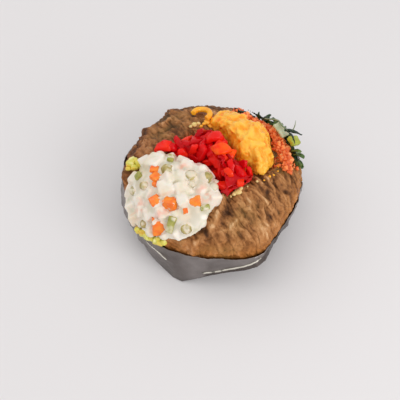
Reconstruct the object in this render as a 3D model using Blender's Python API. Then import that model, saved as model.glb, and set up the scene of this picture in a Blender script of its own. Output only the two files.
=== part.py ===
"""A baked potato in its skin, slit open and heaped with toppings, standing in a wrap of foil.

Metres, +Z up. The potato's slit runs from the low left to the upper right, seen from above with +X to the
right, and the foil's folded front corner points to -Y. The origin is the middle of the base of the whole.
"""

import math

import bmesh
import bpy
from mathutils import Euler, Vector, geometry, noise

MM = 0.001

# Potato
POTATO_RADIUS = 64.5 * MM      # mean half width at the waist, seen from above
FLAT_RADIUS = 27 * MM          # flat spot that it was baked and rests on
WAIST_HEIGHT = 33 * MM         # height of its widest line
CROWN_RISE = 26 * MM           # from the waist to the top of the skin
SLIT_ANGLE = math.radians(35)  # direction of the slit, from +X
SLIT_HALF_WIDTH = 25 * MM      # from the slit's middle to where its lips begin to sink
SLIT_DEPTH = 20 * MM           # depth of the hollow between its lips
MASH_DEPTH = 12 * MM           # from the uncut dome down to the mashed flesh that fills the hollow
SLIT_REACH = 64 * MM           # from the middle to where the slit closes at each end
LIP_HEIGHT = 1.0 * MM          # how far the skin curls up beside the slit
LIP_PLACE = 1.25               # where it curls up most, as a share of the slit's half width
LIP_WIDTH = 5 * MM             # width of that curl
SKIN_LUMP = 0.7 * MM           # height of the skin's broad lumps
SKIN_LUMP_PITCH = 11 * MM      # distance between them
REST_GAP = 0.4 * MM            # between the potato and the foil that it rests on
WAIST_STRETCH = 1.0 * MM       # how much longer it is along the slit
# Bulges and hollows of the waist line: direction and half spread in degrees, and height in mm
WAIST_BULGES = ((297, 14, 6.0), (333, 20, -2.5), (112, 18, 2.0), (208, 22, -4.0))
DOME_POWER = 2.3               # fullness of the dome: 2 is round, more is flatter on top
HULL_POWERS = (2.4, 1.9)       # fullness of the underside: up its wall and along its base

# Foil
FOIL_THICKNESS = 0.5 * MM      # several crumpled layers
FOIL_GAP = 0.5 * MM            # from the potato to the inside of the foil
WALL_GAP = 0.5 * MM            # least gap that is added to it where the foil's wall is bent
RIM_LEAN = 0.7 * MM            # how far the free edge leans away from the potato
RIM_HEIGHT = 31.5 * MM         # mean height of the foil's free edge
RIM_WAVE = 1.2 * MM            # how far the free edge wanders up and down
RIM_WAVES = 2.6                # how often it wanders on the way round
POCKET = 3.4 * MM              # how far the free edge stands off at the left front
POCKET_PLACE = (219, 13)       # its direction and half spread in degrees
WALL_BULGE = 6.6 * MM          # how far the wall swells below the free edge, at the left
WALL_BULGE_PLACE = (200, 19)   # its direction and half spread in degrees
WALL_STEPS = 5                 # rows of faces up the wall
KNEE_HEIGHT = 12 * MM          # where the foil's base turns up into its wall, away from the crease
# Corners of the crease round the foil's folded front: plan position and height
CREASE = (
    Vector((-46, 12, 12)) * MM,
    Vector((-52, -35.5, 0)) * MM,
    Vector((-24, -66, 0)) * MM,
    Vector((35, -69, 27)) * MM,
    Vector((47, -34, 14)) * MM,
)

# Toppings, their outlines in plan in mm
SALAD = (
    (-48, 6), (-34, 6), (-25, 0), (-9, -4), (1, -13), (5, -24), (5, -34), (-2, -46),
    (-9, -56), (-22, -59.5), (-33, -55.5), (-44.5, -50.5), (-52.5, -42), (-58.5, -33.5), (-61, -24),
    (-60, -14), (-52, -5),
)
RED = (
    (-39, 12), (-29, 16), (-17, 20), (-7, 28), (2, 26), (9, 19), (12.5, 10), (15.5, -4),
    (24, -8), (30, -18), (22, -28), (15, -31), (10, -37), (7, -33), (7, -22), (2, -11),
    (-10, -1.5), (-24, 3.4),
)
SAUCE = (
    (-2, 34), (3, 41), (8, 46), (16, 47), (22, 43.5), (27, 38), (32, 36.5), (36, 37.5),
    (41, 31), (42, 22), (42.5, 12), (44, 6), (40.5, -1), (38, -10), (33, -13), (28, -4.5),
    (19, -1), (15, 11), (11, 22), (4, 29.5),
)
# Their middles in plan, how far they rise above the uncut dome, and the height of their lumps, in mm
SALAD_HEAP = ((-28, -28), 7.0, 3.0)
RED_HEAP = ((5, 4), 8.0, 5.0)
SAUCE_HEAP = ((27, 18), 8.0, 3.0)
# Banks of food round the rim: sections given by direction in degrees, middle radius and half width in mm,
# and after them the bank's rise and the height of its lumps in mm
BULGUR_BANK = (
    ((-8, 54.5, 4), (5, 52.5, 4.8), (24, 53.6, 4.4), (41, 56.4, 2.6), (52, 54.5, 3.2), (66, 53, 2.4)),
    4.8,
    2.8,
)
GREENS_BANK = (((0, 61.5, 2.2), (34, 62.6, 2.2), (66, 61.0, 2.2)), 5.0, 1.2)
CORN_BANK = (((211, 63.4, 1.0), (219, 64.6, 1.4), (233, 65.3, 0.7)), 5.0, 1.0)
CORN_BED = 27 * MM             # height at which the sweetcorn lies between potato and foil
# The bent strip of yellow pepper: middle, radius and thickness, and its first direction and sweep
CURL_MIDDLE = (-7.6 * MM, 40.6 * MM)
CURL_RADIUS = 6.1 * MM
CURL_THICKNESS = 4.3 * MM
CURL_TURN = (-58, 226)
# Slices at the far right rim: place in plan and height above the skin in mm, size, and tilt in degrees
PICKLE = ((58.5, 21, 12), Vector((8, 7.5, 4)) * MM, (12, 24, 30))
ONION = ((49.5, 29.5, 12.5), Vector((12, 7, 2.4)) * MM, (-8, 20, -52))
TOPPING_GAP = 1.1 * MM         # between each topping and what it lies on
EDGE_THICKNESS = 1.0 * MM      # of a heap at its edge
EDGE_REACH = 0.965             # how near a heap's edge comes to the waist, as a share of its radius
SALAD_REACH = 1.08             # the salad hangs over the low left shoulder and past the waist
SALAD_DROP = 3.5 * MM          # how far it comes down there
SALAD_HANG = 4.0 * MM          # and how thick it is
LUMP_PITCH = 9 * MM            # distance between the lumps of a chopped heap
BANK_LUMP_PITCH = 6 * MM       # and of a bank
MASH_LUMP = 0.8 * MM           # height of the mash's lumps
MASH_LUMP_PITCH = 6 * MM       # distance between them

SEGMENTS = 60                  # round the potato and the foil


def clear_scene():
    for old in list(bpy.data.objects):
        bpy.data.objects.remove(old)


def material(name, colour, roughness, metallic=0.0):
    made = bpy.data.materials.new(name)
    made.use_nodes = True
    shader = made.node_tree.nodes["Principled BSDF"]
    shader.inputs["Base Color"].default_value = (*colour, 1)
    shader.inputs["Roughness"].default_value = roughness
    shader.inputs["Metallic"].default_value = metallic
    return made


def bell(angle, middle_deg, width_deg):
    """A smooth bump, 1 at its middle, as a function of the direction in plan."""
    away = (math.degrees(angle) - middle_deg + 180) % 360 - 180
    return math.exp(-((away / width_deg) ** 2))


def around(count, start=0.0, sweep=math.tau):
    """Directions in plan, evenly spread over a sweep. A full turn doesn't repeat its first one."""
    steps = count if sweep == math.tau else count - 1
    return [start + sweep * i / steps for i in range(count)]


def polar(radius, angle, height=0.0):
    return Vector((radius * math.cos(angle), radius * math.sin(angle), height))


def finish(name, bm, look, smooth=True):
    """Turns a closed bmesh into an object with faces that point out."""
    bmesh.ops.recalc_face_normals(bm, faces=bm.faces)
    mesh = bpy.data.meshes.new(name)
    bm.to_mesh(mesh)
    bm.free()
    mesh.materials.append(look)
    if smooth:
        mesh.shade_smooth()
    made = bpy.data.objects.new(name, mesh)
    bpy.context.collection.objects.link(made)
    return made


def loft(name, rings, look, smooth=True):
    """A closed solid through rings of equally many points, its two ends closed by fans."""
    bm = bmesh.new()
    made = [[bm.verts.new(point) for point in ring] for ring in rings]
    for lower, upper in zip(made, made[1:]):
        for i in range(len(lower)):
            j = (i + 1) % len(lower)
            bm.faces.new((lower[i], lower[j], upper[j], upper[i]))
    ends = [bm.faces.new(ring) for ring in (made[0], made[-1])]
    bmesh.ops.poke(bm, faces=ends)
    return finish(name, bm, look, smooth)


# The potato's form, which everything else is set against


def waist_radius(angle):
    """Half width of the potato at its waist: long along the slit, with a blunt corner at the front right."""
    bulges = sum(height * MM * bell(angle, place, spread) for place, spread, height in WAIST_BULGES)
    return POTATO_RADIUS + WAIST_STRETCH * math.cos(2 * (angle - SLIT_ANGLE)) + bulges


def hull_radius(angle, height):
    """Radius of the potato's lower half at a height below the waist."""
    share = max(0.0, min(1.0, height / WAIST_HEIGHT))
    up, along = HULL_POWERS
    return FLAT_RADIUS + (waist_radius(angle) - FLAT_RADIUS) * (1 - (1 - share) ** up) ** (1 / along)


def hull_height(angle, radius):
    """Height of the potato's lower half at a radius: hull_radius the other way round."""
    share = (radius - FLAT_RADIUS) / (waist_radius(angle) - FLAT_RADIUS)
    share = max(0.0, min(1.0, share))
    up, along = HULL_POWERS
    return WAIST_HEIGHT * (1 - (1 - share**along) ** (1 / up))


def dome_height(x, y):
    """The top of the potato as it was before it was slit."""
    share = min(1.0, math.hypot(x, y) / waist_radius(math.atan2(y, x)))
    return WAIST_HEIGHT + CROWN_RISE * (1 - share**DOME_POWER) ** (1 / DOME_POWER)


def slit_depth(x, y):
    """How far the flesh lies below the dome, and, just outside the slit, how far its lips curl up."""
    along = x * math.cos(SLIT_ANGLE) + y * math.sin(SLIT_ANGLE)
    across = y * math.cos(SLIT_ANGLE) - x * math.sin(SLIT_ANGLE)
    reach = max(0.0, 1 - (along / SLIT_REACH) ** 4)
    sunk = SLIT_DEPTH * math.exp(-((across / SLIT_HALF_WIDTH) ** 4))
    lip = LIP_HEIGHT * math.exp(-(((abs(across) - LIP_PLACE * SLIT_HALF_WIDTH) / LIP_WIDTH) ** 2))
    return (sunk - lip) * reach


def skin_height(x, y):
    """The top of the potato as it is."""
    lump = SKIN_LUMP * noise.noise(Vector((x, y, 0)) / SKIN_LUMP_PITCH)
    share = min(1.0, math.hypot(x, y) / waist_radius(math.atan2(y, x)))
    return dome_height(x, y) - slit_depth(x, y) + lump * (1 - share**6)


def potato(look):
    """Rings up the underside to the waist, closer together near the base, then over the top."""
    floor = FOIL_THICKNESS + REST_GAP
    rings = []
    for step in range(6):
        height = floor + (WAIST_HEIGHT - floor) * (step / 6) ** 1.7
        rings.append([polar(hull_radius(a, height - floor), a, height) for a in around(SEGMENTS)])
    for step in range(14):
        share = math.cos(math.radians(88) * step / 13) ** 0.75
        ring = [polar(share * waist_radius(a), a) for a in around(SEGMENTS)]
        for point in ring:
            point.z = skin_height(point.x, point.y)
        rings.append(ring)
    return loft("potato", rings, look)


# Foil


def crease_point(angle):
    """Where a direction in plan meets the foil's crease, or None where the foil has no crease."""
    ray = polar(1, angle)
    for start, end in zip(CREASE, CREASE[1:]):
        run = end - start
        turn = ray.x * run.y - ray.y * run.x
        share = (ray.y * start.x - ray.x * start.y) / turn
        radius = (start.x * run.y - start.y * run.x) / turn
        if 0 <= share <= 1 and radius > 0:
            return radius, start.z + share * run.z
    return None


def rim_point(angle):
    """Radius and height of the foil's free edge."""
    wave = noise.noise(polar(RIM_WAVES, angle))
    radius = waist_radius(angle) + FOIL_GAP + FOIL_THICKNESS + RIM_LEAN
    return radius + POCKET * bell(angle, *POCKET_PLACE), RIM_HEIGHT + RIM_WAVE * wave


def foil_profile(angle):
    """The foil's outside from the middle of its base to its free edge, as (radius, height) pairs."""
    clear = FOIL_GAP + FOIL_THICKNESS + WALL_GAP
    rim_r, rim_z = rim_point(angle)
    knee_r, knee_z = crease_point(angle) or (0.0, KNEE_HEIGHT)
    knee_r = max(knee_r, hull_radius(angle, knee_z) + clear)
    points = []
    for step in range(1, 7):
        radius = knee_r * (step / 6) ** 0.75
        straight = knee_z * max(0.0, (radius - FLAT_RADIUS) / (knee_r - FLAT_RADIUS))
        below = hull_height(angle, radius - 0.6 * clear) - WALL_GAP
        points.append((radius, max(0.0, min(straight, below))))
    swell = WALL_BULGE * bell(angle, *WALL_BULGE_PLACE)
    for step in range(1, WALL_STEPS + 1):
        share = step / WALL_STEPS
        height = knee_z + (rim_z - knee_z) * share
        straight = knee_r + (rim_r - knee_r) * share
        radius = max(straight, hull_radius(angle, height) + clear)
        points.append((radius + swell * math.sin(math.pi * share), height))
    return points


def foil(look):
    """One sheet: up the outside from the base to the free edge, and down the inside again."""
    outside, inside = [], []
    profiles = [foil_profile(a) for a in around(SEGMENTS)]
    for k in range(len(profiles[0])):
        outer, inner = [], []
        for angle, profile in zip(around(SEGMENTS), profiles):
            radius, height = profile[k]
            before, after = profile[max(0, k - 1)], profile[min(len(profile) - 1, k + 1)]
            run, rise = after[0] - before[0], after[1] - before[1]
            size = math.hypot(run, rise)
            outer.append(polar(radius, angle, height))
            inner.append(
                polar(
                    radius - FOIL_THICKNESS * rise / size,
                    angle,
                    max(FOIL_THICKNESS, height + FOIL_THICKNESS * run / size),
                )
            )
        outside.append(outer)
        inside.append(inner)
    return loft("foil", outside + inside[::-1], look)


# Flesh and toppings


def mash_height(x, y):
    """The top of the mashed flesh, wherever it lies above the skin."""
    lump = MASH_LUMP * noise.noise(Vector((x, y, 0)) / MASH_LUMP_PITCH)
    return dome_height(x, y) - MASH_DEPTH + lump


def mash_bed(x, y):
    """The underside of the mash, clear of the steep sides of the hollow."""
    return skin_height(x, y) + TOPPING_GAP


def mash_outline(count):
    """The line round the slit where the mash nearly meets the skin, with room for its edge."""
    edge_depth = MASH_DEPTH + 2 * TOPPING_GAP + EDGE_THICKNESS
    long_half = SLIT_REACH * (1 - edge_depth / SLIT_DEPTH) ** 0.25
    outline = []
    for angle in around(count):
        along = 0.98 * long_half * math.cos(angle)
        reach = 1 - (along / SLIT_REACH) ** 4
        half_width = SLIT_HALF_WIDTH * math.log(SLIT_DEPTH * reach / edge_depth) ** 0.25
        across = half_width * math.copysign(abs(math.sin(angle)) ** 0.5, math.sin(angle))
        point = Vector((along, across, 0))
        point.rotate(Euler((0, 0, SLIT_ANGLE)))
        outline.append(point)
    return outline


def bed_height(x, y):
    """What the toppings lie on: mash in the slit and skin beside it."""
    along = x * math.cos(SLIT_ANGLE) + y * math.sin(SLIT_ANGLE)
    if abs(along) > SLIT_REACH * 0.8:
        return skin_height(x, y)
    return max(skin_height(x, y), mash_height(x, y))


def mash_point(point):
    return mash_height(point.x, point.y)


def salad_bed(x, y):
    """What the salad lies on: like the other heaps inside the waist, and hanging freely past it."""
    share = math.hypot(x, y) / waist_radius(math.atan2(y, x))
    if share <= EDGE_REACH:
        return bed_height(x, y)
    last = EDGE_REACH / share
    past = (share - EDGE_REACH) / (SALAD_REACH - EDGE_REACH)
    return bed_height(last * x, last * y) - SALAD_DROP * past


def smooth_outline(corners, count, furthest):
    """A smooth closed line in plan through a few corners, given in mm, with count points per corner."""
    points = [Vector((*corner, 0)) * MM for corner in corners]
    outline = []
    for i, start in enumerate(points):
        before, end, after = points[i - 1], points[(i + 1) % len(points)], points[(i + 2) % len(points)]
        into, out_of = (end - before) / 6, (after - start) / 6
        outline += geometry.interpolate_bezier(start, start + into, end - out_of, end, count + 1)[:-1]
    for point in outline:
        reach = furthest * waist_radius(math.atan2(point.y, point.x))
        point *= min(1, reach / point.length)
    return outline


def heap(name, middle, outline, under, over, look, rings=5, power=4):
    """A low heap between two surfaces, inside an outline, with a rounded edge."""
    middle = Vector((*middle, 0))

    def ring(share, height):
        made = [middle.lerp(point, share) for point in outline]
        for point in made:
            point.z = height(point, share)
        return made

    def bottom(point, share):
        return under(point.x, point.y) + TOPPING_GAP

    def top(point, share):
        base = bottom(point, share) + EDGE_THICKNESS
        return base + max(0, over(point) - base) * (1 - share**power) ** 0.6

    shares = [math.sin(math.pi / 2 * (i + 1) / rings) for i in range(rings)]
    made = [ring(share, bottom) for share in shares]
    made += [ring(share, top) for share in reversed(shares)]
    return loft(name, made, look)


def topping(name, corners, heap_size, look, under=bed_height, furthest=EDGE_REACH, rings=5, power=4):
    """A heap of chopped food on the mash and the skin. A higher power makes its sides steeper."""
    middle, rise, lumps = heap_size

    def crest(point):
        bump = lumps * MM * noise.noise(point / LUMP_PITCH)
        least = under(point.x, point.y) + SALAD_HANG if furthest > 1 else 0
        return max(dome_height(point.x, point.y) + rise * MM, least) + bump

    outline = smooth_outline(corners, 2, furthest)
    return heap(name, Vector(middle) * MM, outline, under, crest, look, rings, power)


def between(stations, place):
    """Middle radius and half width of a bank at a direction, in metres."""
    for (start, *before), (end, *after) in zip(stations, stations[1:]):
        if start - 1e-6 <= place <= end + 1e-6:
            share = (place - start) / (end - start)
            return [(a + (b - a) * share) * MM for a, b in zip(before, after)]


def bank(name, size, look, steps=18, bed=None):
    """A low bank of food that follows the potato's outline and tapers at both ends.

    It lies on the mash and the skin, or at the height bed where that is given."""
    stations, rise, lumps = size
    first, last = math.radians(stations[0][0]), math.radians(stations[-1][0])
    sections = []
    for i, angle in enumerate(around(steps, first, last - first)):
        taper = 0.35 + 0.65 * math.sin(math.pi * i / (steps - 1)) ** 0.6
        middle, half = between(stations, math.degrees(angle))
        half *= taper
        section = []
        for corner in range(10):
            turn = math.tau * corner / 10
            point = polar(middle + half * math.cos(turn), angle)
            base = bed or bed_height(point.x, point.y) + 1.5 * TOPPING_GAP
            upper = max(0.0, math.sin(turn))
            lump = lumps * noise.noise(point / BANK_LUMP_PITCH) * upper
            high = (upper**0.8 * rise * taper + lump) * MM if upper > 1e-6 else 0
            point.z = base + high + 0.6 * MM * (math.sin(turn) + 1)
            section.append(point)
        sections.append(section)
    return loft(name, sections, look)


def curl(name, look):
    """A bent strip that lies on the skin."""
    data = bpy.data.curves.new(name, "CURVE")
    data.dimensions = "3D"
    data.bevel_depth = CURL_THICKNESS / 2
    data.bevel_resolution = 3
    data.use_fill_caps = True
    spline = data.splines.new("POLY")
    angles = around(13, *[math.radians(turn) for turn in CURL_TURN])
    spline.points.add(len(angles) - 1)
    for target, angle in zip(spline.points, angles):
        point = Vector((*CURL_MIDDLE, 0)) + polar(CURL_RADIUS, angle)
        height = skin_height(point.x, point.y) + CURL_THICKNESS / 2 + TOPPING_GAP
        target.co = (point.x, point.y, height, 1)
    data.materials.append(look)
    made = bpy.data.objects.new(name, data)
    bpy.context.collection.objects.link(made)
    return made


def chunk(name, place, look, rounding=0.25):
    """A cut piece with rounded edges, standing clear of the skin below it."""
    (x, y, above), size, tilt_deg = place
    bm = bmesh.new()
    bmesh.ops.create_cube(bm, size=1)
    bmesh.ops.scale(bm, vec=size, verts=bm.verts)
    bmesh.ops.bevel(
        bm, geom=bm.edges[:], offset=rounding * min(size), segments=2, profile=0.6, affect="EDGES"
    )
    made = finish(name, bm, look)
    made.location = Vector((x, y, above)) * MM
    made.location.z += skin_height(x * MM, y * MM)
    made.rotation_euler = [math.radians(t) for t in tilt_deg]
    return made


def toppings():
    mayonnaise = material("mayonnaise_salad", (0.80, 0.76, 0.66), 0.3)
    red = material("red_pepper", (0.60, 0.02, 0.015), 0.25)
    orange = material("cheese_sauce", (0.90, 0.33, 0.03), 0.3)
    grain = material("bulgur", (0.70, 0.20, 0.07), 0.55)
    leaf = material("greens", (0.06, 0.13, 0.03), 0.5)
    yellow = material("yellow_pepper", (0.85, 0.42, 0.02), 0.3)
    corn = material("sweetcorn", (0.75, 0.55, 0.08), 0.35)
    pickle = material("pickle", (0.42, 0.45, 0.06), 0.35)
    onion = material("onion", (0.78, 0.74, 0.58), 0.35)

    flesh = material("potato_flesh", (0.82, 0.66, 0.33), 0.6)
    heap("mash", (0, 0), mash_outline(32), mash_bed, mash_point, flesh, power=8)
    topping("russian_salad", SALAD, SALAD_HEAP, mayonnaise, salad_bed, SALAD_REACH, rings=7, power=9)
    topping("red_pepper", RED, RED_HEAP, red)
    topping("cheese_sauce", SAUCE, SAUCE_HEAP, orange)
    bank("bulgur", BULGUR_BANK, grain)
    bank("greens", GREENS_BANK, leaf)
    bank("sweetcorn", CORN_BANK, corn, bed=CORN_BED)
    curl("yellow_pepper", yellow)
    chunk("pickle", PICKLE, pickle)
    chunk("onion", ONION, onion)


def centre_on_base():
    """Moves the whole so that its origin is the middle of the base of its box."""
    bpy.context.view_layer.update()
    graph = bpy.context.evaluated_depsgraph_get()
    points = []
    for made in bpy.context.scene.objects:
        shown = made.evaluated_get(graph)
        points += [shown.matrix_world @ vertex.co for vertex in shown.to_mesh().vertices]
        shown.to_mesh_clear()
    low = Vector(min(point[i] for point in points) for i in range(3))
    high = Vector(max(point[i] for point in points) for i in range(3))
    middle = (low + high) / 2
    middle.z = low.z
    for made in bpy.context.scene.objects:
        made.location -= middle


clear_scene()
foil(material("foil", (0.42, 0.39, 0.38), 0.35, metallic=1.0))
potato(material("potato_skin", (0.31, 0.15, 0.06), 0.6))
toppings()
centre_on_base()
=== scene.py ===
"""A loaded baked potato in its foil wrap, with the finish of every surface.

Metres, +Z up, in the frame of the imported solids: the middle of the base is the origin, the folded corner of
the foil points to -Y, and the potato's slit runs from the low left to the upper right.
"""

import math
import random

import bmesh
import bpy
from mathutils import Euler, Matrix, Vector, noise
from mathutils.bvhtree import BVHTree


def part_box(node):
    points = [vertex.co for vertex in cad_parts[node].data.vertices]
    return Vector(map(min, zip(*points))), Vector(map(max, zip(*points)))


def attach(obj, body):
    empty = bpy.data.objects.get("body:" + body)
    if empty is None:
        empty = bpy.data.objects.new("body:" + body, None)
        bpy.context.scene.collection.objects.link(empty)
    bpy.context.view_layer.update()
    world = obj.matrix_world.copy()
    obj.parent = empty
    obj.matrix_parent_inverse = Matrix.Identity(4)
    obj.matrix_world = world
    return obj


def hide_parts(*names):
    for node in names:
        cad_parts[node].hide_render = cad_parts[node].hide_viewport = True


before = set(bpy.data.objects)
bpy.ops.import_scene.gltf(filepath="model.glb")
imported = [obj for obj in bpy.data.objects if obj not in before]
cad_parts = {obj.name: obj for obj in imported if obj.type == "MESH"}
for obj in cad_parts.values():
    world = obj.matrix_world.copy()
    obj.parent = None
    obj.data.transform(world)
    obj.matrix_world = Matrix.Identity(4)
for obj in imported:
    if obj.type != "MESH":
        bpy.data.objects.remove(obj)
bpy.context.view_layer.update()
# Without a seed, noise.noise_vector differs from run to run
noise.seed_set(7)

# Camera, floor and light: the helping is seen from the front, from well above, on a plain pale table under
# one broad soft lamp at the upper left and an even pale room.
MM = 0.001
VIEW_RISE = math.radians(53.56)
VIEW_DISTANCE = 0.7714
VIEW_AIM = Vector((-8.4, 7.2, 0)) * MM
LENS = 93.0
FLOOR_SIZE = 6.0
FLOOR_COLOUR = (0.75, 0.73, 0.735, 1)
ROOM_LIGHT = 0.8
LAMP_PLACE = Vector((-0.75, 0.5, 1.15))
LAMP_SIZE = 1.5
LAMP_POWER = 3.4
FILL_PLACE = Vector((0.85, -0.75, 0.7))
FILL_SIZE = 0.8
FILL_POWER = 6.0


def add(tree, kind, values=None, **fields):
    """Adds a node to a tree, sets its fields, and links or sets its inputs."""
    made = tree.nodes.new(kind)
    for field, value in fields.items():
        setattr(made, field, value)
    for socket, value in (values or {}).items():
        if isinstance(value, bpy.types.NodeSocket):
            tree.links.new(value, made.inputs[socket])
        else:
            made.inputs[socket].default_value = value
    return made


def new_surface(name, roughness, **values):
    """A material with its shader: returns the material, its tree, the shader and the object's coordinates."""
    look = bpy.data.materials.new(name)
    look.use_nodes = True
    tree = look.node_tree
    shader = tree.nodes["Principled BSDF"]
    shader.inputs["Roughness"].default_value = roughness
    for socket, value in values.items():
        shader.inputs[socket.replace("_", " ")].default_value = value
    where = add(tree, "ShaderNodeTexCoord").outputs["Object"]
    return look, tree, shader, where


def grain(tree, where, pitch, detail=3.0, distortion=0.0):
    """Noise whose patches are about pitch apart, in metres, as a number from 0 to 1."""
    values = {"Vector": where, "Scale": 0.6 / pitch, "Detail": detail, "Distortion": distortion}
    return add(tree, "ShaderNodeTexNoise", values).outputs["Fac"]


def ramp(tree, factor, *stops):
    """A colour for a number: stops are pairs of a number and a colour."""
    made = add(tree, "ShaderNodeValToRGB", {"Fac": factor})
    points = made.color_ramp.elements
    while len(points) < len(stops):
        points.new(0.5)
    for point, (place, colour) in zip(points, stops):
        point.position = place
        point.color = (*colour, 1)
    return made.outputs["Color"]


def blend(tree, factor, first, second, kind="MIX"):
    """Mixes two colours."""
    made = add(tree, "ShaderNodeMix", data_type="RGBA", blend_type=kind)
    for socket, value in ((0, factor), (6, first), (7, second)):
        if isinstance(value, bpy.types.NodeSocket):
            tree.links.new(value, made.inputs[socket])
        elif socket == 0:
            made.inputs[socket].default_value = value
        else:
            made.inputs[socket].default_value = (*value, 1)
    return made.outputs[2]


def calculate(tree, kind, first, second=0.0, clamp=False):
    """One sum on numbers."""
    return add(tree, "ShaderNodeMath", {0: first, 1: second}, operation=kind, use_clamp=clamp).outputs[0]


def bump(tree, shader, height, depth, strength=1.0):
    """Fine relief, depth in metres, on top of what the mesh has."""
    made = add(tree, "ShaderNodeBump", {"Height": height, "Distance": depth, "Strength": strength})
    tree.links.new(made.outputs["Normal"], shader.inputs["Normal"])


camera_data = bpy.data.cameras.new("camera")
camera_data.lens = LENS
camera_data.sensor_width = 36
camera = bpy.data.objects.new("camera", camera_data)
bpy.context.scene.collection.objects.link(camera)
camera.location = VIEW_AIM + VIEW_DISTANCE * Vector((0, -math.cos(VIEW_RISE), math.sin(VIEW_RISE)))
camera.rotation_euler = (math.pi / 2 - VIEW_RISE, 0, 0)
bpy.context.scene.camera = camera
bpy.context.scene.view_settings.view_transform = "Standard"

room = bpy.data.worlds.new("room")
room.use_nodes = True
room.node_tree.nodes["Background"].inputs["Color"].default_value = (1, 0.99, 0.985, 1)
room.node_tree.nodes["Background"].inputs["Strength"].default_value = ROOM_LIGHT
bpy.context.scene.world = room

for name, place, size, power in (
    ("lamp", LAMP_PLACE, LAMP_SIZE, LAMP_POWER),
    ("fill_lamp", FILL_PLACE, FILL_SIZE, FILL_POWER),
):
    lamp_data = bpy.data.lights.new(name, "AREA")
    lamp_data.shape = "DISK"
    lamp_data.size = size
    lamp_data.energy = power
    lamp = bpy.data.objects.new(name, lamp_data)
    bpy.context.scene.collection.objects.link(lamp)
    lamp.location = place
    lamp.rotation_euler = (-place).to_track_quat("-Z", "Y").to_euler()

floor_mesh = bpy.data.meshes.new("floor")
half = FLOOR_SIZE / 2
floor_mesh.from_pydata(
    [(-half, -half, 0), (half, -half, 0), (half, half, 0), (-half, half, 0)], [], [(0, 1, 2, 3)]
)
floor = bpy.data.objects.new("floor", floor_mesh)
bpy.context.scene.collection.objects.link(floor)
floor_look, tree, shader, where = new_surface("floor", 0.75)
shader.inputs["Base Color"].default_value = FLOOR_COLOUR
bump(tree, shader, grain(tree, where, 3 * MM), 0.05 * MM, 0.2)
floor_mesh.materials.append(floor_look)


# Foil wrap: several layers of thin kitchen foil folded up round the potato by hand, creased all over, its
# front folded to a flat triangle that points at the table and its free edge left ragged.
FOIL_STEP = 1.3 * MM
FOIL_CRUMPLE = 1.3 * MM
FOIL_RAGGED = 1.3 * MM
FOIL_FLAT_CALM = 0.3
# The folded front's raw edge, from the rim down to the right, in mm, and how many creases run up the wall
RAW_EDGE = ((-45.2, -48.2, 27.1), (-31.4, -57.0, 17.8))
WALL_CREASES = 26
# Where the wall is drawn in: direction and width in degrees, how far in and down in mm, from what height up
WALL_SHIFTS = (
    (352, 30, 1.9, 2.6, 14),
    (318, 14, 1.8, 2.0, 14),
    (193, 16, 2.8, 0.4, 4),
    (215, 8, 3.2, 0.0, -9),
    (276, 27, 0.4, 2.6, 13),
)
# The free edge of the outer layer where it lies across the folded front, in mm
FREE_EDGE = ((34, -63.2, 27.9), (20, -65, 21.5), (6, -65.6, 16.5), (-7, -65.4, 12.9))


def solid_copy(node):
    """A CAD solid's mesh as one closed bmesh, its doubles merged."""
    bm = bmesh.new()
    bm.from_mesh(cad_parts[node].data)
    bmesh.ops.remove_doubles(bm, verts=bm.verts, dist=0.005 * MM)
    return bm


def refine(bm, longest):
    """Cuts edges until none is much longer than longest."""
    for _ in range(5):
        long_edges = [edge for edge in bm.edges if edge.calc_length() > longest]
        if not long_edges:
            break
        bmesh.ops.subdivide_edges(bm, edges=long_edges, cuts=1, use_grid_fill=False)
        bmesh.ops.triangulate(bm, faces=[face for face in bm.faces if len(face.verts) > 3])


def finish_piece(name, bm, look, smooth=True):
    """Turns a bmesh into an object with one material."""
    mesh = bpy.data.meshes.new(name)
    bm.to_mesh(mesh)
    bm.free()
    mesh.materials.append(look)
    if smooth:
        mesh.shade_smooth()
    piece = bpy.data.objects.new(name, mesh)
    bpy.context.scene.collection.objects.link(piece)
    return piece


def ridged(point, pitch, seed=0.0):
    """Sharp crests about pitch apart: 1 on a crest, falling to 0 between them."""
    return 1 - min(1.0, 2.2 * abs(noise.noise(point / pitch + Vector((seed, -seed, 2 * seed)))))


def smoothstep(low, high, value):
    share = max(0.0, min(1.0, (value - low) / (high - low)))
    return share * share * (3 - 2 * share)


def crumple(point):
    """How far a hand has pushed the foil out at a point, from about -1 to 1."""
    bent = point + 3 * MM * noise.noise_vector(point / (14 * MM))
    creases = 0.62 * ridged(bent, 15 * MM) + 0.3 * ridged(bent, 6.5 * MM, 4.7) + 0.14 * ridged(bent, 3 * MM, 9.1)
    return 1.6 * creases - 0.75


def mark(piece, name, numbers):
    """Stores one number for each vertex, for the material to read."""
    layer = piece.data.attributes.new(name, "FLOAT", "POINT")
    layer.data.foreach_set("value", numbers)


def ribbon(name, line, width, lookup, look):
    """A narrow raised strip that follows a surface along a line of points in metres."""
    bm = bmesh.new()
    rings = []
    count = 30
    for i in range(count + 1):
        place = i / count * (len(line) - 1)
        first = min(int(place), len(line) - 2)
        point = line[first].lerp(line[first + 1], place - first)
        near, normal = lookup.find_nearest(point)[:2]
        side = normal.cross(line[first + 1] - line[first]).normalized()
        half = width / 2 * (0.35 + 0.65 * math.sin(math.pi * min(1, 0.08 + 0.84 * i / count)))
        corners = ((-half, -1.0 * MM), (half, -1.0 * MM), (half, 0.7 * MM), (-half, 0.7 * MM))
        rings.append([bm.verts.new(near + across * side + out * normal) for across, out in corners])
    for ring, following in zip(rings, rings[1:]):
        for i in range(4):
            bm.faces.new((ring[i], ring[(i + 1) % 4], following[(i + 1) % 4], following[i]))
    bm.faces.new(rings[0])
    bm.faces.new(rings[-1][::-1])
    bmesh.ops.recalc_face_normals(bm, faces=bm.faces)
    return finish_piece(name, bm, look)


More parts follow.
